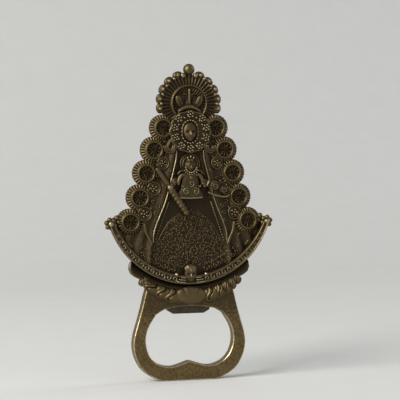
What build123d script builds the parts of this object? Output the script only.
from build123d import *
import math
import os

# Souvenir bottle opener that stands on its loop: a flat cast frame with a cap opening, a steel
# lifting lip let into it, a leaf collar and a figure casting riveted on the front, and two
# magnets let into the back.  Millimetres.  +Z is up, the front faces -Y, and the origin is the
# middle of the flat foot, half way through the frame's thickness.

os.makedirs("parts", exist_ok=True)

# ---------------------------------------------------------------- driving sizes: frame
frame_thickness = 4.0
opening_width = 32.6            # takes a 32 mm crown cap
rim_width = 4.8                 # flat of the loop beside the opening
widest_height = 13.6            # where loop and opening are widest
foot_width = 20.8               # flat that the opener stands on
neck_width = 32.0
ledge_height = 34.0             # top of the full-thickness neck
edge_radius = 0.75
notch_height = 7.0              # point between the two lobes of the opening
notch_radius = 2.2
notch_slope = math.radians(17)
lobe_height = 5.2
shoulder_height = 25.9
shoulder_width = 1.64           # rounded shoulder beside the lip
backing_thickness = 1.6         # thin plate that runs up behind the castings

# ---------------------------------------------------------------- driving sizes: lifting lip
lip_edge_width = 11.4
lip_width = 15.8
lip_edge_height = 24.07
lip_flank_height = 25.35
lip_top_height = 31.4
lip_thickness = 2.0
lip_window_height = 26.9        # crown of the arc that the front web leaves open
lip_clearance = 0.08

# ---------------------------------------------------------------- driving sizes: castings
collar_plate = 1.4              # collar behind the crescent
collar_width = 44.8
leaf_relief = 2.2               # leaves stand this far in front of the frame
dish_relief = 0.6
crescent_radius = 31.2
crescent_width = 3.0
crescent_relief = 2.0
crescent_gap = 0.6              # dark groove between crescent and dish
field_relief = -0.4             # ground of the casting, behind the frame's front face
mantle_relief = 0.4
gown_relief = 1.0
figure_relief_height = 2.6
seam_clearance = 0.1            # between the castings where they meet edge to edge
ground_inset = 0.3              # ground of the figure, inside the crescent's edge

rosette_radius = 4.75
rosette_ring_radius = 3.25
rosette_ring_wall = 0.65
rosette_relief = 0.7            # ring in front of the frame's front face
rosette_cone_height = 0.9
halo_radius = 11.2              # circle of the bead centres
halo_bead_radius = 1.05
halo_bead_step = 19.3
halo_ball_radius = 2.1
tip_flower_radius = 2.35
cherub_radius = 2.7

# ---------------------------------------------------------------- driving sizes: fixings
rivet_radius = 1.1
rivet_head_radius = 1.9
rivet_head_depth = 0.7
rivet_bite = 1.0                # depth of a rivet's shank in a casting
magnet_radius = 6.0
magnet_thickness = 1.5
magnet_clearance = 0.1

# ---------------------------------------------------------------- worked-out places
front = -frame_thickness / 2
back = frame_thickness / 2
backing_front = back - backing_thickness
collar_front = backing_front - collar_plate
opening_half = opening_width / 2
loop_half = opening_half + rim_width
neck_half = neck_width / 2
foot_half = foot_width / 2
shoulder_half = lip_width / 2 + shoulder_width
neck_bend_height = (ledge_height + widest_height + 10.8) / 2
window_half = lip_width / 2
window_foot = shoulder_height + 0.25
window_rise = lip_window_height - window_foot
window_radius = (window_half ** 2 + window_rise ** 2) / (2 * window_rise)
notch_tip_x = notch_radius * math.sin(notch_slope)
notch_tip_z = notch_height - notch_radius * (1 - math.cos(notch_slope))
crescent_centre = ledge_height + crescent_radius + 0.9
halo_centre = ledge_height + 66.1
halo_ball_height = halo_centre + 12.15
face_height = ledge_height + 55.9
dress_height = ledge_height + 32.55
cherub_height = ledge_height + 6.0
collar_top = ledge_height + 12.0

tip_angle = math.radians(72.9)   # from straight down to a tip of the crescent
ground_bottom = collar_top + seam_clearance
ground_half = math.sqrt(crescent_radius ** 2 - (crescent_centre - ground_bottom) ** 2) - ground_inset
tip_flower = (
    (crescent_radius - 0.75) * math.sin(tip_angle),
    crescent_centre - (crescent_radius - 0.75) * math.cos(tip_angle),
)
# rosette centres from the top down: the lowest sits beside a tip flower
highest_rosette = (9.8, ledge_height + 57.3)
lowest_rosette = (tip_flower[0] - 7.1, tip_flower[1] + 0.55)
rosettes = [
    (
        highest_rosette[0] + across * (lowest_rosette[0] - highest_rosette[0]),
        highest_rosette[1] + down * (lowest_rosette[1] - highest_rosette[1]),
    )
    for across, down in ((0, 0), (0.279, 0.235), (0.516, 0.482), (0.713, 0.741), (1, 1))
]
relief_rivet_places = [(8.5, ledge_height + 18.0), (6.5, ledge_height + 59.0)]
collar_rivet_places = [(12.0, ledge_height + 5.0)]
lip_rivet_places = [(3.4, lip_top_height - 1.4)]
magnet_heights = {"magnet_lower": ledge_height + 26.0, "magnet_upper": ledge_height + 48.0}


def front_plane(y):
    """Plane facing the front, square to Y, at depth y; local x is X and local y is Z."""
    return Plane.XZ.offset(-y)


def both_sides(places):
    """The places and their mirror images across the middle."""
    return [(side * x, z) for x, z in places for side in (-1, 1)]


def rivet_profile(length, plane_y):
    """Half section of a countersunk rivet, head flush with the back face, shank forward."""
    return [
        (0, plane_y), (rivet_head_radius, plane_y), (rivet_radius, plane_y - rivet_head_depth),
        (rivet_radius, plane_y - length), (0, plane_y - length),
    ]


# ================================================================ cast frame
with BuildPart() as opener_frame:
    # loop and neck, full thickness
    with BuildSketch(front_plane(back)):
        with BuildLine():
            Line((0, 0), (foot_half, 0))
            Spline(
                (foot_half, 0),
                (loop_half - 4.0, 3.65),
                (loop_half, widest_height - 0.8),
                (loop_half - 1.8, widest_height + 8.2),
                (neck_half + 1.3, neck_bend_height),
                (neck_half, ledge_height),
                tangents=((1, 0.4), (-0.3, 1)),
            )
            Line((neck_half, ledge_height), (0, ledge_height))
            mirror(about=Plane.YZ)
        make_face()
        with BuildLine():
            RadiusArc((0, notch_height), (notch_tip_x, notch_tip_z), notch_radius)
            Spline(
                (notch_tip_x, notch_tip_z),
                (opening_half - 9.0, lobe_height),
                (opening_half - 2.6, lobe_height + 2.65),
                (opening_half, widest_height + 0.3),
                (opening_half - 1.55, widest_height + 7.1),
                ((opening_half + shoulder_half) / 2 + 0.25, shoulder_height - 2.7),
                (shoulder_half, shoulder_height),
                tangents=((1, -math.tan(notch_slope)), (-1, 0.55)),
            )
            Line((shoulder_half, shoulder_height), (window_half, window_foot))
            RadiusArc(
                (window_half, window_foot),
                (0, lip_window_height),
                -window_radius,
            )
            mirror(about=Plane.YZ)
        make_face(mode=Mode.SUBTRACT)
    extrude(amount=frame_thickness)
    flat_face_edges = opener_frame.faces().filter_by(Axis.Y).edges()
    fillet(flat_face_edges.filter_by(lambda edge: edge.center().Z < ledge_height - 1), edge_radius)
    # thin plate up behind the castings
    with BuildSketch(front_plane(back)):
        with BuildLine():
            Polyline(
                (0, ledge_height - 3.0),
                (neck_half - 2.0, ledge_height - 3.0),
                (neck_half - 2.0, ledge_height + 4.0),
                (20.0, ledge_height + 12.5),
                (20.0, ledge_height + 22.0),
                (8.0, ledge_height + 62.0),
            )
            ThreePointArc(
                (8.0, ledge_height + 62.0), (6.0, ledge_height + 69.0), (0, ledge_height + 72.0)
            )
            mirror(about=Plane.YZ)
        make_face()
    extrude(amount=backing_thickness)
    # pocket in the back for the steel lip
    pocket_half = lip_width / 2 + lip_clearance
    pocket_top = lip_top_height + lip_clearance
    with BuildSketch(front_plane(back)):
        with Locations((0, (pocket_top + lobe_height + 10) / 2)):
            Rectangle(2 * pocket_half, pocket_top - lobe_height - 10)
    extrude(amount=lip_thickness + lip_clearance, mode=Mode.SUBTRACT)
    # holes for the lip rivets, countersunk at the front
    with BuildSketch(front_plane(back)):
        with Locations(both_sides(lip_rivet_places)):
            Circle(rivet_radius)
    extrude(amount=frame_thickness, mode=Mode.SUBTRACT)
    with BuildSketch(front_plane(front)):
        with Locations(both_sides(lip_rivet_places)):
            Circle(rivet_head_radius)
    extrude(
        amount=-rivet_head_depth,
        taper=math.degrees(math.atan((rivet_head_radius - rivet_radius) / rivet_head_depth)),
        mode=Mode.SUBTRACT,
    )
    # holes for the casting rivets, countersunk at the back
    with BuildSketch(front_plane(back)):
        with Locations(both_sides(relief_rivet_places + collar_rivet_places)):
            Circle(rivet_radius)
    extrude(amount=backing_thickness, mode=Mode.SUBTRACT)
    with BuildSketch(front_plane(back)):
        with Locations(both_sides(relief_rivet_places + collar_rivet_places)):
            Circle(rivet_head_radius)
    extrude(
        amount=rivet_head_depth,
        taper=math.degrees(math.atan((rivet_head_radius - rivet_radius) / rivet_head_depth)),
        mode=Mode.SUBTRACT,
    )
    # holes for the magnets
    with BuildSketch(front_plane(back)):
        with Locations([(0, height) for height in magnet_heights.values()]):
            Circle(magnet_radius + magnet_clearance)
    extrude(amount=backing_thickness, mode=Mode.SUBTRACT)

# ================================================================ steel lifting lip
with BuildPart() as cap_lifter_lip:
    with BuildSketch(front_plane(back)):
        with BuildLine():
            Polyline(
                (0, lip_edge_height),
                (lip_edge_width / 2, lip_edge_height),
                (lip_width / 2, lip_flank_height),
                (lip_width / 2, lip_top_height),
                (0, lip_top_height),
            )
            mirror(about=Plane.YZ)
        make_face()
    extrude(amount=lip_thickness)
    lip_edge = cap_lifter_lip.edges().filter_by(Axis.X).sort_by(Axis.Z)[:2]
    fillet(lip_edge, 0.4)
    with BuildSketch(front_plane(back)):
        with Locations(both_sides(lip_rivet_places)):
            Circle(rivet_radius)
    extrude(amount=lip_thickness, mode=Mode.SUBTRACT)

# two countersunk rivets that hold the lip, heads at the front under the leaves
lip_rivet_solids = []
for place_x, place_z in both_sides(lip_rivet_places):
    with BuildPart() as one_rivet:
        with BuildSketch(Plane((place_x, 0, place_z), x_dir=(1, 0, 0), z_dir=(0, 0, 1))):
            with BuildLine():
                Polyline(
                    (0, front), (rivet_head_radius, front),
                    (rivet_radius, front + rivet_head_depth), (rivet_radius, back), (0, back),
                    close=True,
                )
            make_face()
        revolve(axis=Axis((place_x, 0, place_z), (0, 1, 0)))
    lip_rivet_solids.append(one_rivet.part)
lip_rivets = Compound(children=lip_rivet_solids)

# ================================================================ leaf collar
gap_radius = crescent_radius + crescent_gap
collar_lip_x = collar_width / 2 - 0.8
collar_lip_height = ledge_height + 9.6


def collar_flank():
    """Lines of the collar's outline from the middle of its foot round to its lip."""
    Line((0, ledge_height), (neck_half - 1.0, ledge_height))
    Spline(
        (neck_half - 1.0, ledge_height),
        (collar_width / 2 - 3.6, ledge_height + 3.2),
        (collar_width / 2, ledge_height + 6.8),
        (collar_lip_x, collar_lip_height),
    )


with BuildPart() as pedestal_collar:
    # plate behind the crescent
    with BuildSketch(front_plane(backing_front)):
        with BuildLine():
            collar_flank()
            Line((collar_lip_x, collar_lip_height), (collar_width / 2 - 3.0, collar_top))
            Line((collar_width / 2 - 3.0, collar_top), (0, collar_top))
            mirror(about=Plane.YZ)
        make_face()
    extrude(amount=collar_plate)
    # dish rim in front of the plate, below the groove under the crescent
    with BuildSketch(front_plane(collar_front)):
        with BuildLine():
            collar_flank()
            Line((collar_lip_x, collar_lip_height), (0, collar_lip_height))
            mirror(about=Plane.YZ)
        make_face()
        with Locations((0, crescent_centre)):
            Circle(gap_radius, mode=Mode.SUBTRACT)
    extrude(amount=collar_front - front + dish_relief)
    # band that carries the leaves, seated on the frame's front face
    with BuildSketch(front_plane(front)):
        with BuildLine():
            Spline(
                (0, ledge_height - 5.4),
                (9.0, ledge_height - 4.0),
                (16.2, ledge_height - 0.9),
                (18.2, ledge_height + 2.9),
                tangents=((1, 0), (0.1, 1)),
            )
            Line((18.2, ledge_height + 2.9), (0, ledge_height + 2.9))
            mirror(about=Plane.YZ)
        make_face()
        with Locations((0, crescent_centre)):
            Circle(gap_radius, mode=Mode.SUBTRACT)
    extrude(amount=leaf_relief * 0.6)
    # nine overlapping leaves, the middle one broadest
    for leaf in range(-4, 5):
        leaf_x = 4.3 * leaf * (1 - 0.012 * abs(leaf))
        leaf_z = ledge_height - 2.2 + 0.22 * leaf * leaf
        leaf_half_width = 4.6 - 0.55 * abs(leaf)
        leaf_drop = 3.9 - 0.35 * abs(leaf)
        with BuildSketch(front_plane(front)):
            with Locations((leaf_x, leaf_z)):
                Ellipse(leaf_half_width, leaf_drop)
            with Locations((0, crescent_centre)):
                Circle(gap_radius, mode=Mode.SUBTRACT)
        extrude(amount=leaf_relief - 0.2 * abs(leaf))
    # blind holes for the collar rivets
    with BuildSketch(front_plane(backing_front)):
        with Locations(both_sides(collar_rivet_places)):
            Circle(rivet_radius)
    extrude(amount=rivet_bite, mode=Mode.SUBTRACT)


def back_rivets(places):
    """Countersunk rivets from the back face through the thin plate into a casting."""
    solids = []
    for place_x, place_z in both_sides(places):
        with BuildPart() as rivet:
            with BuildSketch(Plane((place_x, 0, place_z), x_dir=(1, 0, 0), z_dir=(0, 0, 1))):
                with BuildLine():
                    Polyline(*rivet_profile(backing_thickness + rivet_bite, back), close=True)
                make_face()
            revolve(axis=Axis((place_x, 0, place_z), (0, 1, 0)))
        solids.append(rivet.part)
    return Compound(children=solids)


collar_rivets = back_rivets(collar_rivet_places)

# ================================================================ figure casting
field_front = front - field_relief
mantle_front = front - mantle_relief
gown_front = front - gown_relief
ring_front = front - rosette_relief
figure_front = front - figure_relief_height
rosette_rim_front = field_front + 0.3
with BuildPart() as figure_relief:
    # bowl of the crescent, in front of the collar
    with BuildSketch(front_plane(collar_front)):
        with Locations((0, crescent_centre)):
            Circle(crescent_radius)
        with Locations((0, tip_flower[1] - 0.2 + crescent_radius)):
            Rectangle(3 * crescent_radius, 2 * crescent_radius, mode=Mode.SUBTRACT)
    extrude(amount=collar_front - field_front)
    # ground behind the figure, down to the collar's top edge
    with BuildSketch(front_plane(backing_front)):
        with BuildLine():
            Polyline(
                (0, ground_bottom),
                (ground_half, ground_bottom),
                (lowest_rosette[0] + 4.5, lowest_rosette[1] - 3.0),
                *reversed(rosettes),
                (0, rosettes[0][1]),
            )
            mirror(about=Plane.YZ)
        make_face()
    extrude(amount=backing_front - field_front)
    # crescent: a band that narrows to its tips
    with BuildSketch(front_plane(field_front)):
        with Locations((0, crescent_centre)):
            Circle(crescent_radius)
        with Locations((0, crescent_centre + 1.2)):
            Circle(crescent_radius + 1.2 - crescent_width, mode=Mode.SUBTRACT)
        with Locations((0, tip_flower[1] - 0.6 + 2 * crescent_radius)):
            Rectangle(3 * crescent_radius, 4 * crescent_radius, mode=Mode.SUBTRACT)
    extrude(amount=field_front - front + crescent_relief)
    # flowers on the crescent's tips
    for flower_x, flower_z in both_sides([tip_flower]):
        with Locations(Location((flower_x, front + 0.3, flower_z), (90, 30, 0))):
            Sphere(tip_flower_radius)
    # rosettes: a conical rim, a raised ring and a sunk middle
    for rosette_x, rosette_z in both_sides(rosettes):
        with BuildSketch(front_plane(backing_front)):
            with Locations((rosette_x, rosette_z)):
                Circle(rosette_radius)
        extrude(amount=backing_front - rosette_rim_front)
        with Locations(Location((rosette_x, rosette_rim_front, rosette_z), (90, 0, 0))):
            Cone(
                rosette_radius,
                rosette_ring_radius + 0.3,
                rosette_cone_height,
                align=(Align.CENTER, Align.CENTER, Align.MIN),
            )
        with BuildSketch(front_plane(field_front)):
            with Locations((rosette_x, rosette_z)):
                Circle(rosette_ring_radius)
        extrude(amount=field_front - ring_front)
        with BuildSketch(front_plane(ring_front)):
            with Locations((rosette_x, rosette_z)):
                Circle(rosette_ring_radius - rosette_ring_wall)
        extrude(amount=-0.9, mode=Mode.SUBTRACT)
    # halo: a disc with a raised inner ring, a string of beads and a ball on top
    with BuildSketch(front_plane(backing_front)):
        with Locations((0, halo_centre)):
            Circle(halo_radius - 0.3)
    extrude(amount=backing_front - field_front)
    with BuildSketch(front_plane(field_front)):
        with Locations((0, halo_centre)):
            Circle(halo_radius * 0.6)
            Circle(halo_radius * 0.53, mode=Mode.SUBTRACT)
    extrude(amount=0.5)
    for bead in range(-5, 6):
        if bead != 0:
            angle = math.radians(halo_bead_step * bead + math.copysign(3.5, bead))
            bead_x = halo_radius * math.sin(angle)
            bead_z = halo_centre + halo_radius * math.cos(angle)
            with Locations((bead_x, field_front + 0.6, bead_z)):
                Sphere(halo_bead_radius)
    with Locations((0, field_front + 0.9, halo_ball_height)):
        Sphere(halo_ball_radius)
    # robe: a bell from the shoulders to the crescent, and the gown swelling in its middle
    with BuildSketch(front_plane(field_front)):
        with BuildLine():
            Polyline(
                (0, ledge_height + 5.0),
                (14.5, ledge_height + 10.5),
                (13.5, ledge_height + 20.0),
                (5.6, ledge_height + 49.0),
                (0, ledge_height + 51.0),
            )
            mirror(about=Plane.YZ)
        make_face()
    extrude(amount=field_front - mantle_front)
    with BuildSketch(front_plane(mantle_front)):
        with BuildLine():
            Polyline(
                (0, ledge_height + 6.0),
                (13.0, ledge_height + 11.5),
                (4.9, ledge_height + 27.5),
                (0, ledge_height + 29.0),
            )
            mirror(about=Plane.YZ)
        make_face()
    extrude(amount=mantle_front - gown_front)
    # beaded frame round the face, and the plain oval face
    with BuildSketch(front_plane(field_front)):
        with Locations((0, face_height)):
            Ellipse(7.6, 7.7)
    extrude(amount=field_front - gown_front)
    with BuildSketch(front_plane(gown_front)):
        with Locations((0, face_height)):
            Ellipse(2.4, 3.5)
    extrude(amount=gown_front - figure_front)
    # crown over the frame
    with BuildSketch(front_plane(field_front)):
        with Locations((0, face_height + 9.0)):
            Trapezoid(8.0, 4.2, 70)
        with Locations((0, face_height + 12.6)):
            Rectangle(0.9, 5.0)
    extrude(amount=1.6)
    # child: bell dress, head and crown
    with BuildSketch(front_plane(mantle_front)):
        with Locations((0, dress_height + 3.6)):
            Trapezoid(8.0, 7.2, 74)
    extrude(amount=mantle_front - figure_front)
    with Locations((0, mantle_front - 0.8, dress_height + 11.05)):
        Sphere(1.7)
    # cherub's head on the crescent
    with Locations((0, front - 0.2, cherub_height)):
        Sphere(cherub_radius)
    with Locations((0, collar_front, cherub_height)):
        Box(
            3 * cherub_radius, 3 * cherub_radius, 3 * cherub_radius,
            align=(Align.CENTER, Align.MIN, Align.CENTER), mode=Mode.SUBTRACT,
        )
    # blind holes for the rivets
    with BuildSketch(front_plane(backing_front)):
        with Locations(both_sides(relief_rivet_places)):
            Circle(rivet_radius)
    extrude(amount=rivet_bite, mode=Mode.SUBTRACT)

relief_rivets = back_rivets(relief_rivet_places)

# ================================================================ magnets
magnets = {}
for name, height in magnet_heights.items():
    with BuildPart() as magnet:
        with BuildSketch(front_plane(backing_front + magnet_thickness)):
            with Locations((0, height)):
                Circle(magnet_radius)
        extrude(amount=magnet_thickness)
        fillet(magnet.faces().sort_by(Axis.Y)[-1].edges(), 0.3)
    magnets[name] = magnet.part

# ================================================================ files
opener_frame.part.label = "opener_frame"
export_step(opener_frame.part, "parts/opener_frame.step")
cap_lifter_lip.part.label = "cap_lifter_lip"
export_step(cap_lifter_lip.part, "parts/cap_lifter_lip.step")
lip_rivets.label = "lip_rivets"
export_step(lip_rivets, "parts/lip_rivets.step")
pedestal_collar.part.label = "pedestal_collar"
export_step(pedestal_collar.part, "parts/pedestal_collar.step")
collar_rivets.label = "collar_rivets"
export_step(collar_rivets, "parts/collar_rivets.step")
figure_relief.part.label = "figure_relief"
export_step(figure_relief.part, "parts/figure_relief.step")
relief_rivets.label = "relief_rivets"
export_step(relief_rivets, "parts/relief_rivets.step")
for name, magnet_part in magnets.items():
    magnet_part.label = name
    export_step(magnet_part, f"parts/{name}.step")
